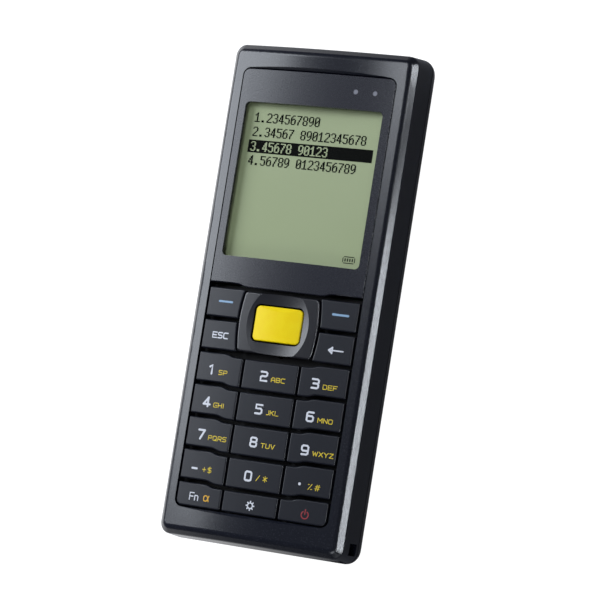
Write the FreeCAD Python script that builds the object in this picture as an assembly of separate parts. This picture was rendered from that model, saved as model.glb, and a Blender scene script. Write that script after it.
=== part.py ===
# Portable barcode data terminal: a bar-shaped handheld lying on its back.
# Millimetres. +X is the right side seen from the front, +Y is the scanning end, +Z comes out of the face.
# The origin is the centre of the bounding box's bottom, on the surface that the terminal lies on.
import FreeCAD, Part
import math
import os
from FreeCAD import Vector

# Driving dimensions of the case
body_length = 136.0
body_width = 57.0
body_height = 24.0
seam_height = 12.4
plan_corner = 3.5
wall = 1.8
front_draft_deg = 5.0
crown_radius = 138.0
edge_chamfer = 1.7
chamfer_round = 2.0
shoulder_round = 0.7
back_side_arc = 8.0
back_slope_deg = 38.0
back_edge_rise = 1.2
back_edge_round = 0.7
back_end_share = 0.62
back_corner_growth = 0.4
seam_groove_height = 0.3
seam_groove_depth = 0.35

# Recess in the face that holds the display and the keys
frame_side = 5.1
frame_top = 7.2
frame_bottom = 8.4
recess_corner = 2.2
recess_rim = 1.4
recess_rim_bottom = 18.45
recess_slope_deg = 50.0

# Display
field_crown_radius = 250.0
bezel_apex = 23.15
bezel_gap = 0.25
bezel_key_gap = 1.5
bezel_underside = 21.2
window_width = 41.7
window_length = 42.4
window_centre_x = -0.1
window_from_top = 9.35
window_corner = 1.3
lens_lap = 0.9
lens_thickness = 0.9
lcd_gap = 0.1
lcd_thickness = 1.8
backlight_thickness = 1.2
indicator_radius = 0.65
indicator_x = (12.0, 17.6)
indicator_from_top = 4.6
display_frame_lap = 1.0
display_frame_end_lap = 0.6
glass_lap = 1.6
ribbon_half_width = 8.5
ribbon_slot_gap = 0.7
ribbon_length = 7.65
ribbon_lap = 1.5

# Keys
key_apex = 23.3
key_side_gap = 0.7
key_field_length = 59.4
key_pitch = 8.85
key_rows = 7
last_row_gap = 0.4
row_gap = 1.0
column_gap = 0.7
centre_column_half = 8.18
row_step = 0.7
step_start_x = 14.9
step_end_x = 10.9
key_round = 0.4
recess_key_corner = 1.6
key_plan_round = 0.35
cap_underside = 20.35
key_travel = 0.6
stem_width = 6.0
stem_length = 3.0
stem_clearance = 0.3
dome_clearance = 0.1

# Navigation pad and scan key
pad_half_corner = 11.0
pad_half_middle = 11.9
pad_gap = 0.5
pad_apex = 23.6
pad_underside = 20.6
pad_dish_radius = 60.0
pad_dish_depth = 0.9
pad_round = 0.5
scan_width = 14.2
scan_length = 9.4
scan_corner = 1.3
scan_gap = 0.45
scan_apex = 23.75
scan_underside = 19.4
scan_stem_width = 7.0
scan_stem_length = 4.5
scan_slope_depth = 1.3
scan_slope_drop = 0.55
pad_plunger_radius = 0.9
pad_plunger_x = 10.0
pad_plunger_y = 7.1
pad_tilt_clearance = 0.5
carrier_outer_width = 17.4
carrier_outer_length = 11.9
carrier_inner_width = 15.5
carrier_inner_length = 10.7
carrier_bottom = 18.95
carrier_top = 19.75
carrier_ridge_radius = 0.35
carrier_ridge_gap = 0.05

# Keypad mat, dome sheet and main board
mat_top = 18.4
mat_overlap = 1.0
board_side_gap = 3.2
board_top_gap = 8.0
board_bottom_gap = 7.5
board_top = 15.4
board_thickness = 1.2
board_corner = 1.0
dome_sheet_thickness = 0.15
dome_height = 0.3
dome_radius = 2.2

# Fasteners
case_screw_from_side = 9.5
case_screw_from_end = 4.0
case_boss_radius = 2.6
case_screw_radius = 0.85
case_screw_hole = 0.95
case_screw_tip = 18.6
screw_head_radius = 1.7
screw_head_height = 1.4
screw_head_seat = 8.4
counterbore_radius = 1.95
rear_boss_radius = 3.1
board_screw_from_side = 4.5
board_screw_low = 28.0
board_screw_high = 44.0
standoff_radius = 1.5
board_screw_radius = 0.6
board_screw_hole = 0.7
board_screw_depth = 3.2
board_head_radius = 1.2
board_head_height = 0.7
notch_clearance = 0.35

# Battery bay, door and hinge
hinge_from_end = 12.0
hinge_z = 1.9
barrel_radius = 1.9
pin_radius = 0.75
pin_running_gap = 0.05
pin_end_gap = 0.6
housing_knuckle_half = 3.8
door_knuckle_end = 13.3
knuckle_gap = 0.3
door_half_width = 18.2
door_gap = 0.25
door_thickness = 1.6
door_lap = 1.2
door_corner = 1.5
bay_side_lap = 0.9
bay_from_hinge = 4.0
bay_length = 49.8
bay_ceiling = 11.1
bay_wall = 1.2
battery_gap = 0.4
battery_bottom = 2.6
pad_thickness = 0.8
catch_half_width = 4.0
catch_leaf = 0.8
catch_height = 3.4
catch_hook_reach = 1.5
catch_hook_gap = 0.06
contact_xs = (-9.0, -6.0, -3.0)
grip_rib_count = 5
grip_rib_pitch = 2.0
grip_rib_depth = 0.45

# Scanning end
scan_window_half = 15.0
scan_window_low = 3.4
scan_window_high = 11.2
scan_window_corner = 1.2
scan_window_thickness = 1.5
scan_window_recess = 0.4
engine_half_width = 10.5
engine_low = 3.0
engine_high = 11.4
engine_from_end = 9.2
engine_length = 10.8
bracket_thickness = 0.8

# Small items
strap_slot_from_end = 4.0
strap_slot_length = 3.2
strap_slot_low = 13.4
strap_slot_high = 16.8
strap_post = 2.4
strap_depth = 3.4
strap_wall = 1.2
seal_width = 0.9
seal_height = 1.0
seal_inset = 0.5
cradle_contact_pitch = 4.0
cradle_contact_width = 1.8

# Worked-out places
half_width = body_width / 2
half_length = body_length / 2
recess_width = body_width - 2 * frame_side
recess_top_y = half_length - frame_top
recess_bottom_y = frame_bottom - half_length
recess_length = recess_top_y - recess_bottom_y
recess_shift = (recess_top_y + recess_bottom_y) / 2
key_field_half = recess_width / 2 - key_side_gap
last_row_bottom = recess_bottom_y + last_row_gap
key_top_y = last_row_bottom + key_field_length
bezel_bottom_edge = key_top_y + bezel_key_gap
window_centre_y = recess_top_y - window_from_top - window_length / 2
indicator_y = recess_top_y - indicator_from_top
board_width = body_width - 2 * board_side_gap
board_length = body_length - board_top_gap - board_bottom_gap
board_centre_y = (board_bottom_gap - board_top_gap) / 2
case_screw_x = half_width - case_screw_from_side
case_screw_y = half_length - case_screw_from_end
board_screw_x = half_width - board_screw_from_side
board_screw_ys = (board_screw_low - half_length, half_length - board_screw_high)
hinge_y = hinge_from_end - half_length
pin_half_length = door_half_width - pin_end_gap
bay_half_width = door_half_width - bay_side_lap
bay_bottom_y = hinge_y + bay_from_hinge
bay_top_y = bay_bottom_y + bay_length
door_end_y = bay_top_y + door_lap
engine_front_y = half_length - engine_from_end
engine_back_y = engine_front_y - engine_length
strap_slot_y = strap_slot_from_end - half_length
board_bottom = board_top - board_thickness
dome_base = board_top + dome_sheet_thickness
dome_top = dome_base + dome_height
stem_bottom = dome_top + key_travel + dome_clearance
lens_top = bezel_underside
lens_bottom = lens_top - lens_thickness
lcd_top = lens_bottom - lcd_gap
lcd_bottom = lcd_top - lcd_thickness
side_key_x = (key_field_half + centre_column_half + column_gap) / 2
pad_top_y = key_top_y
pad_bottom_y = key_top_y - 2 * key_pitch + row_gap
pad_centre_y = (pad_top_y + pad_bottom_y) / 2
scan_key_x = -0.1
far = 200.0
solids_written = []


def save(name, shape):
    shape.exportStep("parts/" + name + ".step")
    solids_written.append(name)


def box(x0, x1, y0, y1, z0, z1):
    return Part.makeBox(x1 - x0, y1 - y0, z1 - z0, Vector(x0, y0, z0))


def rod(radius, length, base, direction):
    return Part.makeCylinder(radius, length, Vector(*base), Vector(*direction))


def line(a, b):
    return Part.LineSegment(Vector(*a), Vector(*b)).toShape()


def arc(a, b, c):
    return Part.Arc(Vector(*a), Vector(*b), Vector(*c)).toShape()


# A rectangle with round corners, lying flat at height z
def round_rectangle(width, length, radius, z, cx=0.0, cy=0.0):
    x0 = cx - width / 2
    x1 = cx + width / 2
    y0 = cy - length / 2
    y1 = cy + length / 2
    r = radius
    k = r * (1 - math.sqrt(0.5))
    edges = [
        line((x0 + r, y0, z), (x1 - r, y0, z)),
        arc((x1 - r, y0, z), (x1 - k, y0 + k, z), (x1, y0 + r, z)),
        line((x1, y0 + r, z), (x1, y1 - r, z)),
        arc((x1, y1 - r, z), (x1 - k, y1 - k, z), (x1 - r, y1, z)),
        line((x1 - r, y1, z), (x0 + r, y1, z)),
        arc((x0 + r, y1, z), (x0 + k, y1 - k, z), (x0, y1 - r, z)),
        line((x0, y1 - r, z), (x0, y0 + r, z)),
        arc((x0, y0 + r, z), (x0 + k, y0 + k, z), (x0 + r, y0, z)),
    ]
    return Part.Wire(edges)


def round_block(width, length, radius, z0, z1, cx=0.0, cy=0.0):
    face = Part.Face(round_rectangle(width, length, radius, z0, cx, cy))
    return face.extrude(Vector(0, 0, z1 - z0))


# Everything below a crowned face: the crown is an arc across X, straight along Y
def crown_block(apex, radius, z_low=-10.0, half=40.0):
    drop = radius - math.sqrt(radius * radius - half * half)
    edges = [
        arc((-half, -far, apex - drop), (0, -far, apex), (half, -far, apex - drop)),
        line((half, -far, apex - drop), (half, -far, z_low)),
        line((half, -far, z_low), (-half, -far, z_low)),
        line((-half, -far, z_low), (-half, -far, apex - drop)),
    ]
    return Part.Face(Part.Wire(edges)).extrude(Vector(0, 2 * far, 0))


def crown_height(x, apex, radius):
    return apex - radius + math.sqrt(radius * radius - x * x)


# Edges that lie on the crowned top face of a piece
def crown_edges(shape, radius):
    found = []
    for face in shape.Faces:
        surface = face.Surface
        if isinstance(surface, Part.Cylinder) and abs(surface.Radius - radius) < 0.001:
            found.extend(face.Edges)
    return found


# Front housing: drafted walls under a crowned face, with a soft chamfer all round
def front_form(inset):
    draft = math.tan(math.radians(front_draft_deg))
    rise = body_height + 1.0 - seam_height
    width = body_width - 2 * inset
    length = body_length - 2 * inset
    corner = max(plan_corner - inset, 0.8)
    low = round_rectangle(width, length, corner, seam_height)
    top_corner = max(corner - 0.5 * draft * rise, 0.5)
    high = round_rectangle(width - 2 * draft * rise, length - 2 * draft * rise, top_corner, seam_height + rise)
    block = Part.makeLoft([low, high], True, True)
    return block.common(crown_block(body_height - inset, crown_radius - inset))


# The edges where the side walls meet the chamfer above them
def shoulder_edges(form):
    walls = [face for face in form.Faces if face.BoundBox.ZMin < seam_height + 0.1]
    found = []
    for face in walls:
        found.extend(edge for edge in face.Edges if edge.BoundBox.ZMin > seam_height + 2 * edge_chamfer)
    return found


def front_outer():
    form = front_form(0.0)
    form = form.makeChamfer(edge_chamfer, crown_edges(form, crown_radius))
    form = form.makeFillet(chamfer_round, crown_edges(form, crown_radius))
    return form.makeFillet(shoulder_round, shoulder_edges(form))


# The strap corner: a slot in the side and one in the end, with a post left between them
def strap_space():
    y0 = strap_slot_y - strap_slot_length / 2
    y1 = strap_slot_y + strap_slot_length / 2
    x_in = half_width - strap_post - strap_depth
    side = box(x_in, half_width + 1, y0, y1, strap_slot_low, strap_slot_high)
    end = box(x_in, half_width - strap_post, -half_length - 1, y1, strap_slot_low, strap_slot_high)
    return side.fuse(end)


def strap_block():
    y1 = strap_slot_y + strap_slot_length / 2 + strap_wall
    x_in = half_width - strap_post - strap_depth - strap_wall
    return box(x_in, half_width - 1, -half_length + 1, y1, seam_height, strap_slot_high + strap_wall)


def case_screw_places():
    return [(sx * case_screw_x, sy * case_screw_y) for sx in (-1, 1) for sy in (-1, 1)]


def board_screw_places():
    return [(sx * board_screw_x, y) for sx in (-1, 1) for y in board_screw_ys]


# Slope that leads from the frame down to the recess, widest at the middle of the crown
def recess_slope(y_edge, direction):
    half = recess_width / 2
    reach = 6.0
    apex = bezel_apex
    drop = apex - crown_height(half, apex, field_crown_radius)
    top = body_height + 3.0
    edges = [
        arc((-half, y_edge, apex - drop), (0, y_edge, apex), (half, y_edge, apex - drop)),
        line((half, y_edge, apex - drop), (half, y_edge, top)),
        line((half, y_edge, top), (-half, y_edge, top)),
        line((-half, y_edge, top), (-half, y_edge, apex - drop)),
    ]
    rise = reach * math.tan(math.radians(recess_slope_deg))
    return Part.Face(Part.Wire(edges)).extrude(Vector(0, direction * reach, rise))


def front_housing():
    outer = front_outer()
    cavity = front_form(wall)
    rim_width = recess_width + 2 * recess_rim
    rim_length = recess_length + 2 * recess_rim
    rim_corner = recess_corner + recess_rim
    rim = round_block(rim_width, rim_length, rim_corner, recess_rim_bottom, body_height, 0, recess_shift)
    keep = [rim, strap_block()]
    for x, y in case_screw_places():
        keep.append(rod(case_boss_radius, body_height, (x, y, seam_height), (0, 0, 1)))
    for x, y in board_screw_places():
        keep.append(rod(standoff_radius, body_height, (x, y, board_top), (0, 0, 1)))
    inner = keep[0].multiFuse(keep[1:]).common(outer)
    shell = outer.cut(cavity).fuse(inner)
    opening = round_block(recess_width, recess_length, recess_corner, 0, body_height + 2, 0, recess_shift)
    cuts = [opening, strap_space()]
    cuts.append(recess_slope(recess_top_y, 1))
    cuts.append(recess_slope(recess_bottom_y, -1))
    cuts.append(seal_ring(0.04))
    for x, y in case_screw_places():
        cuts.append(rod(case_screw_hole, case_screw_tip + 0.3 - seam_height, (x, y, seam_height), (0, 0, 1)))
    for x, y in board_screw_places():
        cuts.append(rod(board_screw_hole, board_screw_depth + 0.3, (x, y, board_top), (0, 0, 1)))
    shell = shell.cut(cuts[0].multiFuse(cuts[1:]))
    posts = []
    for x, y in board_screw_places():
        post = rod(standoff_radius, recess_rim_bottom - board_top + 0.4, (x, y, board_top), (0, 0, 1))
        hole = rod(board_screw_hole, board_screw_depth + 0.3, (x, y, board_top), (0, 0, 1))
        posts.append(post.cut(hole))
    return shell.multiFuse(posts).removeSplitter()


# Rear housing: sides that turn in under the seam to a flat back
def back_inset(z):
    below = seam_height - z
    slope = math.radians(back_slope_deg)
    turn = back_side_arc * math.sin(slope)
    if below <= turn:
        inset = back_side_arc - math.sqrt(back_side_arc ** 2 - below ** 2)
    else:
        inset = back_side_arc * (1 - math.cos(slope)) + (below - turn) * math.tan(slope)
    rounding = max(0.0, back_edge_rise - z)
    return inset + back_edge_round * rounding ** 2


def rear_form(inset):
    heights = [seam_height, 11.2, 9.8, 8.2, 6.4, 4.6, 2.8, 1.2, 0.5, 0.0]
    sections = []
    for z in heights:
        side = back_inset(z)
        end = side * back_end_share
        width = body_width - 2 * side - 2 * inset
        length = body_length - 2 * end - 2 * inset
        corner = max(plan_corner + back_corner_growth * side - inset, 0.8)
        level = z if inset == 0 else inset + (z / seam_height) * (seam_height - inset)
        sections.append(round_rectangle(width, length, corner, level))
    return Part.makeLoft(sections, True, False)


# Gasket between the two housings
def seal_ring(clearance):
    low = seam_height - seal_height / 2 - clearance
    high = seam_height + seal_height / 2 + clearance
    outer = body_width - 2 * seal_inset + 2 * clearance
    outer_length = body_length - 2 * seal_inset + 2 * clearance
    inner = body_width - 2 * (seal_inset + seal_width) - 2 * clearance
    inner_length = body_length - 2 * (seal_inset + seal_width) - 2 * clearance
    block = round_block(outer, outer_length, plan_corner - seal_inset, low, high)
    return block.cut(round_block(inner, inner_length, plan_corner - seal_inset - seal_width, low - 1, high + 1))


def door_outline(gap, z0, z1):
    y0 = hinge_y
    y1 = door_end_y + gap
    width = 2 * (door_half_width + gap)
    return round_block(width, y1 - y0, door_corner, z0, z1, 0, (y0 + y1) / 2)


def hinge_trough():
    y0 = hinge_y - barrel_radius - 0.5
    y1 = hinge_y + barrel_radius + knuckle_gap + 0.4
    half = door_half_width + door_gap
    return box(-half, half, y0, y1, -1, 2 * hinge_z + knuckle_gap)


def housing_knuckle_spans():
    outer = door_half_width + door_gap
    return [
        (-outer, -(door_knuckle_end + knuckle_gap)),
        (-housing_knuckle_half, housing_knuckle_half),
        (door_knuckle_end + knuckle_gap, outer),
    ]


def door_knuckle_spans():
    inner = housing_knuckle_half + knuckle_gap
    return [(-door_knuckle_end, -inner), (inner, door_knuckle_end)]


def barrel(span, radius):
    return rod(radius, span[1] - span[0], (span[0], hinge_y, hinge_z), (1, 0, 0))


def scan_opening(gap):
    width = 2 * (scan_window_half + gap)
    height = scan_window_high - scan_window_low + 2 * gap
    middle = (scan_window_high + scan_window_low) / 2
    block = round_block(width, height, scan_window_corner + gap, 0, 14.0)
    block.rotate(Vector(0, 0, 0), Vector(1, 0, 0), -90)
    block.translate(Vector(0, half_length - 10.0, middle))
    return block


def rear_housing():
    outer = rear_form(0.0)
    cavity = rear_form(wall)
    keep = []
    bay = box(-bay_half_width - bay_wall, bay_half_width + bay_wall,
              bay_bottom_y - bay_wall, bay_top_y + bay_wall, 0, bay_ceiling + bay_wall)
    keep.append(bay)
    trough = box(-door_half_width - bay_wall - door_gap, door_half_width + bay_wall + door_gap,
                 hinge_y - barrel_radius - 0.5 - bay_wall, bay_bottom_y,
                 0, 2 * hinge_z + knuckle_gap + bay_wall)
    keep.append(trough)
    for x, y in case_screw_places():
        keep.append(rod(rear_boss_radius, seam_height, (x, y, 0), (0, 0, 1)))
    inner = keep[0].multiFuse(keep[1:]).common(outer)
    shell = outer.cut(cavity).fuse(inner)
    cuts = [hinge_trough()]
    cuts.append(box(-bay_half_width, bay_half_width, bay_bottom_y, bay_top_y, door_thickness, bay_ceiling))
    cuts.append(door_outline(door_gap, -1, door_thickness + 0.05))
    notch = catch_half_width + 0.4
    cuts.append(box(-notch, notch, bay_top_y - 0.1, bay_top_y + bay_wall + 0.1,
                    door_thickness, catch_height + 1.2))
    cuts.append(scan_opening(0.0))
    cuts.append(seal_ring(0.04))
    groove = round_block(body_width + 4, body_length + 4, plan_corner + 2,
                         seam_height - seam_groove_height, seam_height + 1)
    groove = groove.cut(round_block(body_width - 2 * seam_groove_depth, body_length - 2 * seam_groove_depth,
                                    plan_corner - seam_groove_depth, 0, body_height))
    cuts.append(groove)
    for x, y in case_screw_places():
        cuts.append(rod(counterbore_radius, screw_head_seat + 1, (x, y, -1), (0, 0, 1)))
        cuts.append(rod(case_screw_hole, seam_height + 1, (x, y, 0), (0, 0, 1)))
    for index in range(4):
        cuts.append(cradle_contact_block(index, 0.03))
    shell = shell.cut(cuts[0].multiFuse(cuts[1:]))
    knuckles = []
    for span in housing_knuckle_spans():
        web = box(span[0], span[1], hinge_y - barrel_radius, hinge_y + barrel_radius,
                  hinge_z, 2 * hinge_z + knuckle_gap + 0.1)
        knuckles.append(barrel(span, barrel_radius).fuse(web))
    shell = shell.multiFuse(knuckles)
    pin_end = pin_half_length + 0.1
    pin_space = rod(pin_radius + 0.01, 2 * pin_end, (-pin_end, hinge_y, hinge_z), (1, 0, 0))
    return shell.cut(pin_space).removeSplitter()


# Charging contacts in the bottom end, flush with the rear housing
def cradle_contact_block(index, clearance):
    x = (index - 1.5) * cradle_contact_pitch
    half = cradle_contact_width / 2 + clearance
    return box(x - half, x + half, -half_length, -half_length + 5.0, 6.6 - clearance, 10.2 + clearance)


def cradle_contacts():
    outer = rear_form(0.0)
    pieces = [cradle_contact_block(i, 0.0).common(outer) for i in range(4)]
    return Part.makeCompound(pieces)


def battery_door():
    plate = door_outline(0.0, 0, door_thickness)
    clear = barrel_radius + knuckle_gap
    for span in housing_knuckle_spans():
        plate = plate.cut(box(span[0] - knuckle_gap, span[1] + knuckle_gap,
                              hinge_y - 1, hinge_y + clear, -1, door_thickness + 1))
    pieces = []
    for span in door_knuckle_spans():
        pieces.append(barrel(span, barrel_radius))
    plate = plate.multiFuse(pieces)
    for span in door_knuckle_spans():
        plate = plate.cut(barrel((span[0] - 1, span[1] + 1), pin_radius + pin_running_gap))
    for index in range(grip_rib_count):
        y = door_end_y - 3.0 - index * grip_rib_pitch
        groove = rod(grip_rib_depth, 16.0, (-8.0, y, 0), (1, 0, 0))
        plate = plate.cut(groove)
    return plate.removeSplitter()


# Snap catch on the door's free end: a leaf with a hook that reaches over the back's edge
def door_catch():
    y1 = bay_top_y + 0.2
    leaf = box(-catch_half_width, catch_half_width, y1, y1 + catch_leaf, door_thickness, catch_height + 1.0)
    hook_low = wall + catch_hook_gap
    hook = box(-catch_half_width, catch_half_width, y1 + catch_leaf, door_end_y + catch_hook_reach,
               hook_low, hook_low + 0.8)
    return leaf.fuse(hook).removeSplitter()


def door_foam_pad():
    return round_block(24.0, 30.0, 2.0, door_thickness, door_thickness + pad_thickness, 0, -28.0)


def battery_pack():
    y0 = bay_bottom_y + battery_gap
    y1 = bay_top_y - 1.6
    pack = round_block(2 * (bay_half_width - battery_gap), y1 - y0, 1.5,
                       battery_bottom, bay_ceiling - battery_gap, 0, (y0 + y1) / 2)
    vertical = [e for e in pack.Edges if abs(e.BoundBox.ZLength) < 0.01]
    return pack.makeFillet(0.6, vertical)


def battery_contacts():
    pieces = []
    for x in contact_xs:
        back = box(x - 0.9, x + 0.9, bay_top_y - 0.3, bay_top_y, 4.0, 9.6)
        bend = box(x - 0.9, x + 0.9, bay_top_y - 1.5, bay_top_y - 0.3, 8.4, 8.8)
        touch = box(x - 0.9, x + 0.9, bay_top_y - 1.5, bay_top_y - 1.2, 5.6, 8.8)
        pieces.append(back.multiFuse([bend, touch]).removeSplitter())
    return Part.makeCompound(pieces)


# Display stack
def display_y_range():
    return bezel_bottom_edge, recess_top_y - bezel_gap


# The wavy line between two rows: level at the sides, one step lower over the middle
def row_line(y, going_right):
    run = (step_start_x - step_end_x)
    radius = (run * run + row_step * row_step) / (4 * row_step)
    half_turn = math.asin(run / 2 / radius) / 2
    dx = radius * math.sin(half_turn)
    dy = radius * (1 - math.cos(half_turn))
    mid_x = (step_start_x + step_end_x) / 2
    left = [
        ((-step_start_x, y), (-step_start_x + dx, y - dy), (-mid_x, y - row_step / 2)),
        ((-mid_x, y - row_step / 2), (-step_end_x - dx, y - row_step + dy), (-step_end_x, y - row_step)),
    ]
    right = [tuple((-p[0], p[1]) for p in reversed(a)) for a in reversed(left)]
    arcs = left + right
    if not going_right:
        arcs = [tuple(reversed(a)) for a in reversed(arcs)]
    return arcs


# A closed outline from a list of points and arcs, all at height z
def outline(parts, z):
    edges = []
    last = None
    first = None
    for part in parts:
        start = part[0] if isinstance(part[0], tuple) else part
        end = part[-1] if isinstance(part[0], tuple) else part
        if last is not None and (abs(last[0] - start[0]) > 1e-6 or abs(last[1] - start[1]) > 1e-6):
            edges.append(line((last[0], last[1], z), (start[0], start[1], z)))
        if isinstance(part[0], tuple):
            edges.append(arc(*[(p[0], p[1], z) for p in part]))
        if first is None:
            first = start
        last = end
    if abs(last[0] - first[0]) > 1e-6 or abs(last[1] - first[1]) > 1e-6:
        edges.append(line((last[0], last[1], z), (first[0], first[1], z)))
    return Part.Wire(edges)


def display_bezel():
    low, high = display_y_range()
    half = recess_width / 2 - bezel_gap
    corners = [(half, low), (half, high), (-half, high), (-half, low)]
    parts = corners[:2] + corners[2:] + row_line(low, True)
    plate = Part.Face(outline(parts, bezel_underside)).extrude(Vector(0, 0, 5))
    plate = plate.common(crown_block(bezel_apex, field_crown_radius))
    upright = [e for e in plate.Edges
               if e.BoundBox.XLength < 0.01 and e.BoundBox.YLength < 0.01 and e.BoundBox.YMin > high - 0.1]
    plate = plate.makeFillet(recess_corner - bezel_gap, upright)
    opening = round_block(window_width, window_length, window_corner, 0, body_height + 1,
                          window_centre_x, window_centre_y)
    plate = plate.makeFillet(0.25, crown_edges(plate, field_crown_radius))
    plate = plate.cut(opening)
    for x in indicator_x:
        plate = plate.cut(rod(indicator_radius + 0.02, 10, (x, indicator_y, bezel_underside - 1), (0, 0, 1)))
    return plate


def indicator_lenses():
    crown = crown_block(bezel_apex - 0.05, field_crown_radius)
    pieces = []
    for x in indicator_x:
        lens = rod(indicator_radius, 10, (x, indicator_y, bezel_underside), (0, 0, 1))
        foot = rod(indicator_radius + 0.35, 0.8, (x, indicator_y, bezel_underside - 0.8), (0, 0, 1))
        pieces.append(lens.common(crown).fuse(foot).removeSplitter())
    return Part.makeCompound(pieces)


def lens_outline(z0, z1, grow):
    return round_block(window_width + 2 * lens_lap + grow, window_length + 2 * lens_lap + grow, 1.0, z0, z1,
                       window_centre_x, window_centre_y)


def display_window():
    return lens_outline(lens_bottom, lens_top, 0.0)


def glass_block(z0, z1, grow):
    width = window_width + 2 * glass_lap - 1.0 + grow
    length = window_length + 2 * glass_lap + grow
    return round_block(width, length, 0.4, z0, z1, window_centre_x, window_centre_y)


def lcd_panel():
    return glass_block(lcd_bottom, lcd_top, 0.0)


def backlight_panel():
    return glass_block(lcd_bottom - backlight_thickness, lcd_bottom, 0.0)


def screw_notches(z0, z1):
    places = board_screw_places()
    pieces = [rod(standoff_radius + notch_clearance, z1 - z0, (x, y, z0), (0, 0, 1)) for x, y in places]
    return pieces[0].multiFuse(pieces[1:])


# Frame that carries the glass: a foot on the board, a flange under the rim and a neck up to the bezel
def lcd_frame():
    low, high = display_y_range()
    half = recess_width / 2 - bezel_gap - 0.05
    middle = (low + high) / 2
    corner = recess_corner - bezel_gap
    neck = round_block(2 * half, high - low - 0.1, corner, board_top, bezel_underside, 0, middle)
    flange_top = recess_rim_bottom - 0.05
    flange = box(-half - display_frame_lap, half + display_frame_lap, low + 0.05, high + display_frame_end_lap,
                 board_top, flange_top)
    frame = neck.fuse(flange)
    frame = frame.cut(lens_outline(lens_bottom, body_height, 0.1))
    frame = frame.cut(glass_block(lcd_bottom - backlight_thickness, lens_bottom + 0.01, 0.1))
    frame = frame.cut(glass_block(board_top - 1, lcd_bottom - backlight_thickness, -2.0))
    frame = frame.cut(screw_notches(board_top - 1, flange_top + 1))
    for x in indicator_x:
        frame = frame.cut(rod(indicator_radius + 0.5, 3.2, (x, indicator_y, bezel_underside - 3.1), (0, 0, 1)))
        frame = frame.cut(rod(indicator_radius + 0.3, 8, (x, indicator_y, board_top - 1), (0, 0, 1)))
    slot_half = ribbon_half_width + ribbon_slot_gap
    frame = frame.cut(box(-slot_half, slot_half, low - 1, window_centre_y, board_top - 1, board_top + 0.6))
    return frame.removeSplitter()


def lcd_ribbon():
    half = ribbon_half_width
    top = lcd_bottom - backlight_thickness
    y_edge = window_centre_y - window_length / 2 + ribbon_lap
    flat = box(-half, half, y_edge - ribbon_length, y_edge, board_top + 0.02, board_top + 0.2)
    up = box(-half, half, y_edge - 0.2, y_edge, board_top + 0.02, top - 0.02)
    return flat.fuse(up).removeSplitter()


# Keys
def key_rows_y(row):
    top = key_top_y - row * key_pitch
    bottom = top - key_pitch + row_gap
    if row == key_rows - 1:
        bottom = last_row_bottom
    return top, bottom


# Round the upright corners of a key cap: a larger radius where the recess turns
def round_upright(shape, radius, picks):
    edges = []
    for e in shape.Edges:
        bounds = e.BoundBox
        if bounds.XLength < 0.01 and bounds.YLength < 0.01:
            x = bounds.XMin
            y = bounds.YMin
            if picks(x, y):
                edges.append(e)
    return shape.makeFillet(radius, edges)


def finish_cap(parts, corner_at):
    face = Part.Face(outline(parts, cap_underside))
    cap = face.extrude(Vector(0, 0, 6)).common(crown_block(key_apex, field_crown_radius))
    if corner_at is None:
        cap = round_upright(cap, key_plan_round, lambda x, y: True)
    else:
        cx, cy = corner_at
        cap = round_upright(cap, recess_key_corner, lambda x, y: abs(x - cx) < 0.01 and abs(y - cy) < 0.01)
        cap = round_upright(cap, key_plan_round, lambda x, y: abs(x - cx) + abs(y - cy) > 0.1)
    return cap.makeFillet(key_round, crown_edges(cap, field_crown_radius))


def stem(x, y, width, length, top):
    return box(x - width / 2, x + width / 2, y - length / 2, y + length / 2, stem_bottom, top)


# Number-pad key: column -1, 0 or 1, row 2 to 6
def grid_key(column, row):
    top, bottom = key_rows_y(row)
    last = row == key_rows - 1
    step = row_step
    inner = centre_column_half + column_gap
    outer = key_field_half
    if column == 0:
        low = bottom if last else bottom - step
        c = centre_column_half
        parts = [(-c, low), (c, low), (c, top - step), (-c, top - step)]
        corner = None
    else:
        upper = row_line(top, True)
        lower = row_line(bottom, True)
        if column > 0:
            low_edge = [(inner, bottom - step)] + lower[2:] + [(outer, bottom)]
            back = [tuple(reversed(a)) for a in reversed(upper[2:])]
            high_edge = [(outer, top)] + back + [(inner, top - step)]
            straight = [(inner, bottom), (outer, bottom)]
        else:
            low_edge = [(-outer, bottom)] + lower[:2] + [(-inner, bottom - step)]
            back = [tuple(reversed(a)) for a in reversed(upper[:2])]
            high_edge = [(-inner, top - step)] + back + [(-outer, top)]
            straight = [(-outer, bottom), (-inner, bottom)]
        parts = (straight if last else low_edge) + high_edge
        corner = (column * outer, bottom) if last else None
    cap = finish_cap(parts, corner)
    x = column * side_key_x
    y = key_stem_y(column, row)
    return cap.fuse(stem(x, y, stem_width, stem_length, cap_underside + 0.5)).removeSplitter()


def key_stem_y(column, row):
    top, bottom = key_rows_y(row)
    shift = row_step / 2 if column != 0 else row_step
    if row == key_rows - 1:
        shift = shift / 2
    return (top + bottom) / 2 - shift


# Key beside the pad: its inner side follows the pad's bulge
def side_key(side, row):
    top, bottom = key_rows_y(row)
    outer = key_field_half
    ys = [bottom, (bottom + top) / 2, top]
    xs = [pad_side_x(y) + pad_gap for y in ys]
    inner_arc = tuple((side * x, y) for x, y in zip(xs, ys))
    if side > 0:
        parts = [(outer, bottom), (outer, top), tuple(reversed(inner_arc))]
    else:
        parts = [inner_arc, (-outer, top), (-outer, bottom)]
    cap = finish_cap(parts, None)
    x = side * (outer + xs[1]) / 2
    return cap.fuse(stem(x, (top + bottom) / 2, stem_width, stem_length, cap_underside + 0.5)).removeSplitter()


def side_key_stem(side, row):
    top, bottom = key_rows_y(row)
    x = side * (key_field_half + pad_side_x((top + bottom) / 2) + pad_gap) / 2
    return x, (top + bottom) / 2


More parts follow.
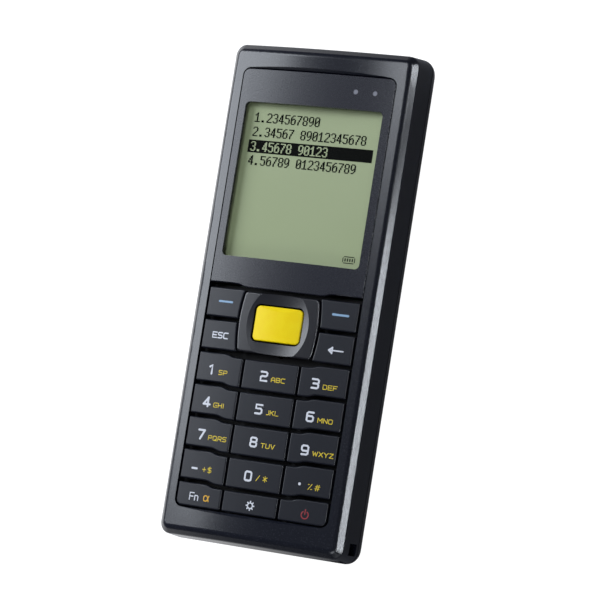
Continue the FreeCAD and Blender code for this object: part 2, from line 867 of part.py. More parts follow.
def pad_side_x(y):
    bulge = pad_half_middle - pad_half_corner
    half = (pad_top_y - pad_bottom_y) / 2
    radius = (half * half + bulge * bulge) / (2 * bulge)
    return pad_half_middle - radius + math.sqrt(radius ** 2 - (y - pad_centre_y) ** 2)


# Four-way pad: barrel sides, a shallow dish and a hole for the scan key
def nav_pad():
    top = pad_top_y - 0.3
    bottom = pad_bottom_y + 0.2
    ys = [bottom, pad_centre_y, top]
    right = tuple((pad_side_x(y), y) for y in ys)
    left = tuple((-pad_side_x(y), y) for y in reversed(ys))
    face = Part.Face(outline([right, left], pad_underside))
    cap = face.extrude(Vector(0, 0, 6)).common(crown_block(pad_apex, field_crown_radius))
    cap = round_upright(cap, 1.0, lambda x, y: True)
    cap = cap.makeFillet(pad_round, crown_edges(cap, field_crown_radius))
    dish_centre = Vector(0, pad_centre_y, pad_apex - pad_dish_depth + pad_dish_radius)
    dish = Part.makeSphere(pad_dish_radius, dish_centre)
    cap = cap.cut(dish)
    opening = round_block(scan_width + 2 * scan_gap, scan_length + 2 * scan_gap, scan_corner + scan_gap,
                          0, body_height + 1, scan_key_x, pad_centre_y)
    cap = cap.cut(opening)
    plungers = []
    for x, y in pad_plunger_places():
        plungers.append(rod(pad_plunger_radius, pad_underside + 0.4 - stem_bottom - 0.4,
                            (x, y, stem_bottom + 0.4), (0, 0, 1)))
    return cap.multiFuse(plungers).removeSplitter()


def pad_plunger_places():
    return [
        (pad_plunger_x, pad_centre_y),
        (-pad_plunger_x, pad_centre_y),
        (0, pad_centre_y + pad_plunger_y),
        (0, pad_centre_y - pad_plunger_y),
    ]


# Gimbal ring under the pad: it rocks on two cross ridges and the pad rocks on the other two
def nav_gimbal():
    ring = round_block(carrier_outer_width, carrier_outer_length, 1.5, carrier_bottom, carrier_top,
                       0, pad_centre_y)
    hole = round_block(carrier_inner_width, carrier_inner_length, 1.0, 0, body_height, 0, pad_centre_y)
    ring = ring.cut(hole)
    r = carrier_ridge_radius
    width = (carrier_outer_width - carrier_inner_width) / 2
    length = (carrier_outer_length - carrier_inner_length) / 2
    pieces = []
    for side in (-1, 1):
        x = side * (carrier_inner_width + width) / 2
        low_ridge = rod(r, width, (x - width / 2, pad_centre_y, mat_top + carrier_ridge_gap + r), (1, 0, 0))
        low_web = box(x - width / 2, x + width / 2, pad_centre_y - r, pad_centre_y + r,
                      mat_top + carrier_ridge_gap + r, carrier_bottom + 0.1)
        y = pad_centre_y + side * (carrier_inner_length + length) / 2
        high_ridge = rod(r, length, (0, y - length / 2, pad_underside - carrier_ridge_gap - r), (0, 1, 0))
        high_web = box(-r, r, y - length / 2, y + length / 2,
                       carrier_top - 0.1, pad_underside - carrier_ridge_gap - r)
        pieces.extend([low_ridge, low_web, high_ridge, high_web])
    return ring.multiFuse(pieces).removeSplitter()


def key_scan():
    cap = round_block(scan_width, scan_length, scan_corner, scan_underside, body_height + 2,
                      scan_key_x, pad_centre_y)
    cap = cap.common(crown_block(scan_apex, 40.0))
    y_edge = pad_centre_y + scan_length / 2
    low = scan_apex - scan_slope_drop
    wedge_points = [
        Vector(-20, y_edge - scan_slope_depth, scan_apex + 0.05),
        Vector(-20, y_edge + 1.0, low - scan_slope_drop / scan_slope_depth),
        Vector(-20, y_edge + 1.0, scan_apex + 2),
        Vector(-20, y_edge - scan_slope_depth, scan_apex + 2),
        Vector(-20, y_edge - scan_slope_depth, scan_apex + 0.05),
    ]
    wedge = Part.Face(Part.makePolygon(wedge_points)).extrude(Vector(40, 0, 0))
    cap = cap.makeFillet(0.35, crown_edges(cap, 40.0))
    cap = cap.cut(wedge)
    foot = box(scan_key_x - scan_stem_width / 2, scan_key_x + scan_stem_width / 2,
               pad_centre_y - scan_stem_length / 2, pad_centre_y + scan_stem_length / 2,
               stem_bottom, scan_underside + 0.2)
    return cap.fuse(foot).removeSplitter()


def grid_key_names():
    names = {}
    rows = [
        ("key_1", "key_2", "key_3"),
        ("key_4", "key_5", "key_6"),
        ("key_7", "key_8", "key_9"),
        ("key_minus", "key_0", "key_point"),
        ("key_function", "key_backlight", "key_power"),
    ]
    for r, row in enumerate(rows):
        for c, name in enumerate(row):
            names[name] = (c - 1, r + 2)
    return names


def side_key_names():
    return {
        "key_soft_left": (-1, 0),
        "key_soft_right": (1, 0),
        "key_escape": (-1, 1),
        "key_backspace": (1, 1),
    }


# Every place where a key presses down: (x, y, width, length)
def key_stem_places():
    places = []
    for column, row in grid_key_names().values():
        places.append((column * side_key_x, key_stem_y(column, row), stem_width, stem_length))
    for side, row in side_key_names().values():
        x, y = side_key_stem(side, row)
        places.append((x, y, stem_width, stem_length))
    places.append((scan_key_x, pad_centre_y, scan_stem_width, scan_stem_length))
    return places


def mat_outline(z0, z1):
    half = recess_width / 2 + mat_overlap
    y0 = recess_bottom_y - mat_overlap
    y1 = bezel_bottom_edge - 0.4
    return round_block(2 * half, y1 - y0, 1.5, z0, z1, 0, (y0 + y1) / 2)


def keypad_mat():
    mat = mat_outline(dome_base, mat_top)
    cuts = [screw_notches(board_top, mat_top + 1)]
    for x, y, width, length in key_stem_places():
        dx = width / 2 + stem_clearance
        dy = length / 2 + stem_clearance
        cuts.append(box(x - dx, x + dx, y - dy, y + dy, 0, body_height))
        cuts.append(rod(dome_radius + 0.3, dome_height + 0.3, (x, y, dome_base - 0.1), (0, 0, 1)))
    for x, y in pad_plunger_places():
        cuts.append(rod(pad_plunger_radius + pad_tilt_clearance, body_height, (x, y, 0), (0, 0, 1)))
    return mat.cut(cuts[0].multiFuse(cuts[1:])).removeSplitter()


def dome_sheet():
    sheet = mat_outline(board_top, dome_base).cut(screw_notches(board_top - 1, mat_top))
    radius = (dome_radius ** 2 + dome_height ** 2) / (2 * dome_height)
    domes = []
    places = [(x, y, dome_radius) for x, y, width, length in key_stem_places()]
    places.extend([(x, y, pad_plunger_radius + 0.2) for x, y in pad_plunger_places()])
    for x, y, r in places:
        ball = Part.makeSphere(radius, Vector(x, y, dome_top - radius))
        disc = rod(r, dome_height + 0.05, (x, y, dome_base - 0.05), (0, 0, 1))
        domes.append(ball.common(disc))
    return sheet.multiFuse(domes).removeSplitter()


# Main board and what is on it
def main_board():
    board = round_block(board_width, board_length, board_corner, board_bottom, board_top, 0, board_centre_y)
    corner = strap_block()
    bounds = corner.BoundBox
    board = board.cut(box(bounds.XMin - 0.4, half_width, -half_length, bounds.YMax + 0.4, 0, body_height))
    for x, y in board_screw_places():
        board = board.cut(rod(board_screw_hole, 5, (x, y, board_bottom - 1), (0, 0, 1)))
    return board


def board_chips():
    pieces = [
        round_block(22, 16, 0.5, board_bottom - 1.6, board_bottom, -8, 22),
        round_block(10, 10, 0.2, board_bottom - 1.2, board_bottom, 12, 24),
        round_block(8, 12, 0.2, board_bottom - 1.2, board_bottom, 12, 38),
        round_block(12, 8, 0.2, board_bottom - 1.0, board_bottom, -12, 40),
        round_block(9, 9, 0.2, board_bottom - 0.9, board_bottom, 0, -20),
        round_block(6, 8, 0.2, board_bottom - 0.9, board_bottom, -14, -42),
    ]
    return Part.makeCompound(pieces)


def backup_cell():
    return rod(5.0, 2.0, (16, 10, board_bottom - 2.0), (0, 0, 1))


def buzzer():
    body = rod(5.0, 3.2, (-16, 8, board_bottom - 3.2), (0, 0, 1))
    return body.cut(rod(0.8, 1.0, (-16, 8, board_bottom - 3.2), (0, 0, 1)))


def vibration_motor():
    return rod(2.6, 10.0, (-5, 44.0, board_bottom - 2.6), (1, 0, 0))


# Scan engine behind its window
def scan_engine():
    body = box(-engine_half_width, engine_half_width, engine_back_y, engine_front_y, engine_low, engine_high)
    body = body.makeFillet(0.6, [e for e in body.Edges if e.BoundBox.ZLength > 5])
    middle = (engine_low + engine_high) / 2
    body = body.cut(rod(3.2, 4.0, (0, engine_front_y - 3.0, middle), (0, 1, 0)))
    for x in (-7.3, 7.3):
        body = body.cut(rod(1.7, 3.0, (x, engine_front_y - 2.0, middle), (0, 1, 0)))
    return body


def scan_lens():
    middle = (engine_low + engine_high) / 2
    body = rod(3.15, 2.6, (0, engine_front_y - 3.0, middle), (0, 1, 0))
    ball = Part.makeSphere(6.0, Vector(0, engine_front_y + 5.2, middle))
    return body.cut(ball)


def aiming_lamps():
    middle = (engine_low + engine_high) / 2
    pieces = []
    for x in (-7.3, 7.3):
        post = rod(1.65, 1.2, (x, engine_front_y - 2.0, middle), (0, 1, 0))
        tip = Part.makeSphere(1.6, Vector(x, engine_front_y - 0.8, middle))
        front = box(x - 2, x + 2, engine_front_y - 0.8, engine_front_y + 2, 0, body_height)
        pieces.append(post.fuse(tip.common(front)).removeSplitter())
    return Part.makeCompound(pieces)


def engine_bracket():
    t = bracket_thickness
    x = engine_half_width
    low = wall
    pieces = [
        box(-x - t, -x - 0.02, engine_back_y, engine_front_y - 1, low, engine_high),
        box(x + 0.02, x + t, engine_back_y, engine_front_y - 1, low, engine_high),
        box(-x - t, x + t, engine_back_y - t, engine_back_y - 0.02, low, engine_high),
        box(-x - t, x + t, engine_back_y - t, engine_front_y - 1, low, engine_low - 0.02),
    ]
    return pieces[0].multiFuse(pieces[1:]).removeSplitter()


def scan_window():
    outer = rear_form(0.0)
    outer.translate(Vector(0, -scan_window_recess, 0))
    inner = rear_form(0.0)
    inner.translate(Vector(0, -scan_window_recess - scan_window_thickness, 0))
    return scan_opening(-0.03).common(outer).cut(inner)


# Fasteners
def case_screw(x, y):
    base = screw_head_seat - screw_head_height
    head = rod(screw_head_radius, screw_head_height, (x, y, base), (0, 0, 1))
    rim = [e for e in head.Edges if abs(e.BoundBox.ZMin - base) < 0.01 and e.BoundBox.ZLength < 0.01]
    head = head.makeFillet(0.4, rim)
    foot = screw_head_seat - 0.2
    shank = rod(case_screw_radius, case_screw_tip - foot, (x, y, foot), (0, 0, 1))
    slot_a = box(x - 1.0, x + 1.0, y - 0.2, y + 0.2, 0, base + 0.6)
    slot_b = box(x - 0.2, x + 0.2, y - 1.0, y + 1.0, 0, base + 0.6)
    return head.fuse(shank).cut(slot_a.fuse(slot_b)).removeSplitter()


def case_screws():
    return Part.makeCompound([case_screw(x, y) for x, y in case_screw_places()])


def board_screws():
    pieces = []
    for x, y in board_screw_places():
        head = rod(board_head_radius, board_head_height, (x, y, board_bottom - board_head_height), (0, 0, 1))
        shank = rod(board_screw_radius, board_screw_depth + board_thickness, (x, y, board_bottom), (0, 0, 1))
        pieces.append(head.fuse(shank).removeSplitter())
    return Part.makeCompound(pieces)


def door_hinge_pin():
    return rod(pin_radius, 2 * pin_half_length, (-pin_half_length, hinge_y, hinge_z), (1, 0, 0))


os.makedirs("parts", exist_ok=True)
makers = {
    "front_housing": front_housing,
    "rear_housing": rear_housing,
    "case_seal": lambda: seal_ring(0.0),
    "display_bezel": display_bezel,
    "indicator_lenses": indicator_lenses,
    "display_window": display_window,
    "lcd_panel": lcd_panel,
    "backlight_panel": backlight_panel,
    "lcd_frame": lcd_frame,
    "lcd_ribbon": lcd_ribbon,
    "keypad_mat": keypad_mat,
    "dome_sheet": dome_sheet,
    "key_scan": key_scan,
    "nav_pad": nav_pad,
    "nav_gimbal": nav_gimbal,
    "main_board": main_board,
    "board_chips": board_chips,
    "backup_cell": backup_cell,
    "buzzer": buzzer,
    "vibration_motor": vibration_motor,
    "scan_engine": scan_engine,
    "scan_lens": scan_lens,
    "aiming_lamps": aiming_lamps,
    "engine_bracket": engine_bracket,
    "scan_window": scan_window,
    "battery_pack": battery_pack,
    "battery_contacts": battery_contacts,
    "battery_door": battery_door,
    "door_catch": door_catch,
    "door_foam_pad": door_foam_pad,
    "door_hinge_pin": door_hinge_pin,
    "cradle_contacts": cradle_contacts,
    "case_screws": case_screws,
    "board_screws": board_screws,
}
for node, maker in makers.items():
    save(node, maker())
for node, (column, row) in grid_key_names().items():
    save(node, grid_key(column, row))
for node, (side, row) in side_key_names().items():
    save(node, side_key(side, row))
print(len(solids_written), "nodes written")
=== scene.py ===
# %% [markdown]
# # A barcode data terminal
# The real thing is a one-hand terminal: two black plastic shells, a display under a clear window,
# and a pad of moulded keys with printed legends. The solid shapes already come from the packed
# frame, so this lesson is about finishes, printing, light and the camera.

# %% Load the frame
import math

import bmesh
import bpy
from mathutils import Matrix, Vector


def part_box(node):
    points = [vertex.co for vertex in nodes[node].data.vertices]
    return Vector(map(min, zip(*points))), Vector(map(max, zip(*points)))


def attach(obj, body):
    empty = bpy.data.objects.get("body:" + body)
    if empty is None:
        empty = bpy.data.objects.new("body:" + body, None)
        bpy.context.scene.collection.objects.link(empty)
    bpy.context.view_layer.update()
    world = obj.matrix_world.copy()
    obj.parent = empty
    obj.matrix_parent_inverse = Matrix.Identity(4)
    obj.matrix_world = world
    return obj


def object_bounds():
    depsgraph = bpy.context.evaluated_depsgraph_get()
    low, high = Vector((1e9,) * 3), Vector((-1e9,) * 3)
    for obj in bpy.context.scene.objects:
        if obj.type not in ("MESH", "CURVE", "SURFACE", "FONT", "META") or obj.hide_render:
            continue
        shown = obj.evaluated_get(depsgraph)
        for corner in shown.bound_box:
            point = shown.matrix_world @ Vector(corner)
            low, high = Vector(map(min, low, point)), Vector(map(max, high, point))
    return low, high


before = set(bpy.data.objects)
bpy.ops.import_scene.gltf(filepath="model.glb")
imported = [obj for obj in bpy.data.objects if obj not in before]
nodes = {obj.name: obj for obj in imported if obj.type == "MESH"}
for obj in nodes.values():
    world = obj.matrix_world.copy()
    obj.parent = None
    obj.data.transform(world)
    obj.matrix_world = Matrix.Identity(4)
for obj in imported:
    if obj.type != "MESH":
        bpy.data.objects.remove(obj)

scene = bpy.context.scene
cad_low, cad_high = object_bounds()
mm = 0.001
print("CAD nodes:", len(nodes), "box:", [round(v, 4) for v in cad_high - cad_low])

# %% [markdown]
# ## Writing finishes as sums
# A finish is a tree of small nodes. Wiring them by hand is hard to read, so a small class wraps a
# socket and lets ordinary arithmetic add the maths nodes. One more method adds any other node.


# %% A socket that can be used in sums
class Amount:
    def __init__(self, finish, socket):
        self.finish = finish
        self.socket = socket

    def sum(self, operation, first, second):
        return self.finish.node("ShaderNodeMath", {"operation": operation}, {0: first, 1: second})

    def __add__(self, other):
        return self.sum("ADD", self, other)

    __radd__ = __add__

    def __mul__(self, other):
        return self.sum("MULTIPLY", self, other)

    __rmul__ = __mul__

    def __gt__(self, other):
        return self.sum("GREATER_THAN", self, other)


# %% One finish and its nodes
class Finish:
    def __init__(self, name):
        self.material = bpy.data.materials.new(name)
        self.material.use_nodes = True
        self.tree = self.material.node_tree
        self.shader = self.tree.nodes["Principled BSDF"]
        self.place = self.node("ShaderNodeTexCoord", output="Object")

    def node(self, kind, settings=None, inputs=None, output=0):
        made = self.tree.nodes.new(kind)
        for key, value in (settings or {}).items():
            setattr(made, key, value)
        for key, value in (inputs or {}).items():
            self.feed(made.inputs[key], value)
        return Amount(self, made.outputs[output])

    def feed(self, socket, value):
        if isinstance(value, Amount):
            self.tree.links.new(value.socket, socket)
        else:
            socket.default_value = value

    def set(self, values):
        for key, value in values.items():
            self.feed(self.shader.inputs[key], value)

    def noise(self, scale, detail=2.0):
        return self.node("ShaderNodeTexNoise",
                         inputs={"Vector": self.place, "Scale": scale, "Detail": detail})

    def grains(self, scale):
        return self.node("ShaderNodeTexVoronoi", inputs={"Vector": self.place, "Scale": scale},
                         output="Color")

    def blend(self, factor, one, two):
        mix = self.tree.nodes.new("ShaderNodeMix")
        mix.data_type = "RGBA"
        self.feed(mix.inputs["Factor"], factor)
        first_colour, second_colour = mix.inputs[6], mix.inputs[7]
        self.feed(first_colour, one)
        self.feed(second_colour, two)
        return Amount(self, mix.outputs[2])

    def bump(self, height, distance, strength):
        return self.node("ShaderNodeBump",
                         inputs={"Height": height, "Distance": distance, "Strength": strength})


# A colour is written as on a screen, 0 to 255, and a shader wants it linear
def linear(r, g, b):
    def channel(v):
        v = v / 255
        return v / 12.92 if v <= 0.04045 else ((v + 0.055) / 1.055) ** 2.4
    return (channel(r), channel(g), channel(b), 1.0)


# The solids of the frame keep their mesh and only get a new material
def dress(finish, *names):
    for name in names:
        for place in nodes[name].material_slots:
            place.material = finish.material
    print(finish.material.name, "on", len(names), "nodes")


# %% [markdown]
# ## The moulded shells
# The front shell is satin black with a fine metallic grain: tiny flakes catch the light, so the
# frame sparkles a little. Cells of a Voronoi pattern, each with its own brightness, give the
# flakes, and a finer noise gives the moulded grain. A fairly low roughness keeps the bright line
# on the shoulder narrow. The rear shell is the same plastic, plainer.

# %% Satin shell
def satin_shell(name, dark, light, flakes):
    finish = Finish(name)
    grain = finish.noise(6500.0, 2.0)
    cloud = finish.noise(38.0, 3.0)
    flake = finish.node("ShaderNodeSeparateColor", inputs={"Color": finish.grains(7500.0)})
    spark = flake > 0.95
    base = finish.blend(cloud, dark, light)
    colour = finish.blend(spark * flakes, base, linear(120, 122, 135))
    finish.set({
        "Base Color": colour,
        "Roughness": 0.20 + grain * 0.06,
        "Normal": finish.bump(grain, 0.000004, 0.4),
    })
    return finish


shell_finish = satin_shell("satin_front_shell", linear(15, 18, 29), linear(20, 23, 34), 0.1)
dress(shell_finish, "front_housing")
back_finish = satin_shell("satin_rear_shell", linear(13, 15, 25), linear(17, 19, 29), 0.06)
dress(back_finish, "rear_housing", "battery_door")

# %% [markdown]
# ## Display bezel, keys and pad
# The bezel is smoother than the shell. The key caps are coated matt, so they look even and soft.
# The four-way pad is polished black and shows the lamps as soft streaks. The scan key is yellow
# and half gloss, with a faint unevenness in the moulding.

# %% Bezel
bezel_finish = Finish("smooth_bezel")
bezel_grain = bezel_finish.noise(4200.0)
bezel_finish.set({
    "Base Color": bezel_finish.blend(bezel_finish.noise(30.0), linear(22, 24, 35), linear(27, 29, 40)),
    "Roughness": 0.24 + bezel_grain * 0.06,
    "Normal": bezel_finish.bump(bezel_grain, 0.00001, 0.3),
})
dress(bezel_finish, "display_bezel")

# %% Key caps
cap_finish = Finish("coated_key_caps")
cap_grain = cap_finish.noise(6500.0)
cap_finish.set({
    "Base Color": cap_finish.blend(cap_finish.noise(60.0), linear(16, 19, 29), linear(20, 23, 33)),
    "Roughness": 0.33 + cap_grain * 0.08,
    "Specular IOR Level": 0.35,
    "Normal": cap_finish.bump(cap_grain, 0.00001, 0.35),
})
cap_names = sorted(name for name in nodes if name.startswith("key_") and name != "key_scan")
dress(cap_finish, *cap_names)
print("key caps:", len(cap_names))

# %% Polished pad and yellow scan key
pad_finish = Finish("polished_pad")
pad_wave = pad_finish.noise(70.0, 1.0)
pad_finish.set({
    "Base Color": pad_finish.blend(pad_wave, linear(20, 21, 28), linear(26, 27, 34)),
    "Roughness": 0.26 + pad_wave * 0.06,
    "Coat Weight": 0.25,
    "Coat Roughness": 0.2,
})
dress(pad_finish, "nav_pad")

yellow_finish = Finish("yellow_scan_key")
yellow_cloud = yellow_finish.noise(420.0, 3.0)
yellow_finish.set({
    "Base Color": yellow_finish.blend(yellow_cloud, linear(248, 212, 0), linear(253, 228, 18)),
    "Roughness": 0.34 + yellow_cloud * 0.1,
    "Specular IOR Level": 0.15,
    "Normal": yellow_finish.bump(yellow_cloud, 0.00003, 0.5),
})
dress(yellow_finish, "key_scan")

# %% [markdown]
# ## Display
# A reflective display is a grey-green sheet with a soft sheen, under a clear window. The window
# lets nearly everything through by its alpha, and only its gloss is seen. The pixels are nearly
# black and matt, so that they stay dark under the lamps.

# %% Display glass and window
lcd_finish = Finish("grey_green_display")
lcd_cloud = lcd_finish.noise(24.0, 2.0)
lcd_finish.set({
    "Base Color": lcd_finish.blend(lcd_cloud, linear(160, 174, 126), linear(170, 182, 140)),
    "Roughness": 0.45 + lcd_cloud * 0.05,
})
dress(lcd_finish, "lcd_panel")

window_finish = Finish("clear_window")
window_smear = window_finish.noise(60.0, 2.0)
window_finish.set({
    "Base Color": (0.02, 0.02, 0.02, 1.0),
    "Roughness": 0.04 + window_smear * 0.05,
    "Alpha": 0.04 + window_smear * 0.01,
})
dress(window_finish, "display_window")

ink_dark = Finish("display_pixels")
ink_dark.set({
    "Base Color": ink_dark.blend(ink_dark.noise(500.0), linear(2, 4, 2), linear(6, 8, 5)),
    "Roughness": 0.7,
    "Specular IOR Level": 0.05,
})

# %% [markdown]
# ## Pixel text
# The text could be painted into the material, but thin raised tiles stay sharp from close by.
# The signs of such a display stand on a coarse grid of pixels. Each row of a digit is written
# here as a string, one character for a pixel. Pixels side by side in a row become one thin box,
# so the mesh stays small and every tile is a closed shape.

# %% Pixel digits
pixel_digits = {
    "0": (".###.", "#...#", "#...#", "#..##", "#.#.#", "##..#", "#...#", "#...#", ".###."),
    "1": ("..#..", ".##..", "#.#..", "..#..", "..#..", "..#..", "..#..", "..#..", "#####"),
    "2": (".###.", "#...#", "....#", "....#", "...#.", "..#..", ".#...", "#....", "#####"),
    "3": (".###.", "#...#", "....#", "....#", "..##.", "....#", "....#", "#...#", ".###."),
    "4": ("...#.", "..##.", "..##.", ".#.#.", ".#.#.", "#..#.", "#####", "...#.", "...#."),
    "5": ("#####", "#....", "#....", "####.", "....#", "....#", "....#", "#...#", ".###."),
    "6": ("..##.", ".#...", "#....", "#.##.", "##..#", "#...#", "#...#", "#...#", ".###."),
    "7": ("#####", "....#", "...#.", "...#.", "..#..", "..#..", ".#...", ".#...", ".#..."),
    "8": (".###.", "#...#", "#...#", "#...#", ".###.", "#...#", "#...#", "#...#", ".###."),
    "9": (".###.", "#...#", "#...#", "#...#", "#..##", ".##.#", "....#", "...#.", ".##.."),
    ".": (".....", ".....", ".....", ".....", ".....", ".....", ".....", ".##..", ".##.."),
}
display_lines = ("1.234567890", "2.34567 89012345678", "3.45678 90123", "4.56789 0123456789")
pixel = 0.2295 * mm
cell_width = 8 * pixel
line_pitch = 3.93 * mm
glyph_rows = 9
text_left = -18.55 * mm
first_line_y = 47.6 * mm
pixel_height = 1.28
pixel_spread = 1.25
pixel_bold = 0.65
lcd_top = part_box("lcd_panel")[1].z
tile_rise = 0.03 * mm
tile_thickness = 0.02 * mm


def add_tile(bm, x0, x1, y0, y1, z):
    made = bmesh.ops.create_cube(bm, size=1.0)
    middle = Matrix.Translation(((x0 + x1) / 2, (y0 + y1) / 2, z))
    size = Matrix.Diagonal((x1 - x0, y1 - y0, tile_thickness, 1))
    bmesh.ops.transform(bm, matrix=middle @ size, verts=made["verts"])


def add_glyph(bm, glyph, left, middle_y, z):
    tall = pixel * pixel_height
    for row, text in enumerate(pixel_digits[glyph]):
        y1 = middle_y + (glyph_rows / 2 - row) * tall
        start = None
        for column, mark in enumerate(text + "."):
            if mark == "#" and start is None:
                start = column
            if mark != "#" and start is not None:
                x0 = left + start * pixel * pixel_spread
                x1 = left + (column * pixel_spread + pixel_bold) * pixel
                add_tile(bm, x0, x1, y1 - tall, y1, z)
                start = None


def new_piece(name, bm, finish, body):
    print(name, "faces:", len(bm.faces))
    mesh = bpy.data.meshes.new(name)
    bm.to_mesh(mesh)
    bm.free()
    mesh.materials.append(finish.material)
    piece = bpy.data.objects.new(name, mesh)
    scene.collection.objects.link(piece)
    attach(piece, body)


# %% Lines of the display
chosen_line = 2
dark_text = bmesh.new()
for index, text in enumerate(display_lines):
    if index == chosen_line:
        continue
    for place, glyph in enumerate(text):
        if glyph != " ":
            line_y = first_line_y - index * line_pitch
            add_glyph(dark_text, glyph, text_left + place * cell_width, line_y, lcd_top + tile_rise)
new_piece("display_text", dark_text, ink_dark, "root")

bar_left = -19.3 * mm
bar_right = 18.6 * mm
bar_half = 1.75 * mm
bar_y = first_line_y - chosen_line * line_pitch - 0.1 * mm
bar = bmesh.new()
add_tile(bar, bar_left, bar_right, bar_y - bar_half, bar_y + bar_half, lcd_top + tile_rise)
new_piece("display_bar", bar, ink_dark, "root")
bar_text = bmesh.new()
bar_text_z = lcd_top + 1.8 * tile_rise
for place, glyph in enumerate(display_lines[chosen_line]):
    if glyph != " ":
        add_glyph(bar_text, glyph, text_left + place * cell_width, bar_y, bar_text_z)
new_piece("display_bar_text", bar_text, lcd_finish, "root")

# %% Battery sign in the display's corner
sign_x = 16.4 * mm
sign_y = 11.5 * mm
sign_half_x = 1.75 * mm
sign_half_y = 0.85 * mm
sign_z = lcd_top + tile_rise
line = 0.22 * mm
charge_pitch = 0.72 * mm
charge_half_x = 0.17 * mm
charge_half_y = 0.42 * mm
sign = bmesh.new()
for side in (-1, 1):
    edge_x = sign_x + side * sign_half_x
    edge_y = sign_y + side * sign_half_y
    add_tile(sign, sign_x - sign_half_x + line, sign_x + sign_half_x - line,
             edge_y - line / 2, edge_y + line / 2, sign_z)
    add_tile(sign, edge_x - line / 2, edge_x + line / 2,
             sign_y - sign_half_y + line, sign_y + sign_half_y - line, sign_z)
for step in (-1.5, -0.5, 0.5, 1.5):
    middle = sign_x + step * charge_pitch
    add_tile(sign, middle - charge_half_x, middle + charge_half_x,
             sign_y - charge_half_y, sign_y + charge_half_y, sign_z)
new_piece("display_battery_sign", sign, ink_dark, "root")

# %% [markdown]
# ## Printed legends
# The legends are printed in a few inks on the crowned key tops. Each letter is a few straight
# strokes on a grid 4 wide and 6 high. A curve with a thin round section turns strokes into a
# solid of even width, which is then pressed nearly flat and laid on the crown of the key.

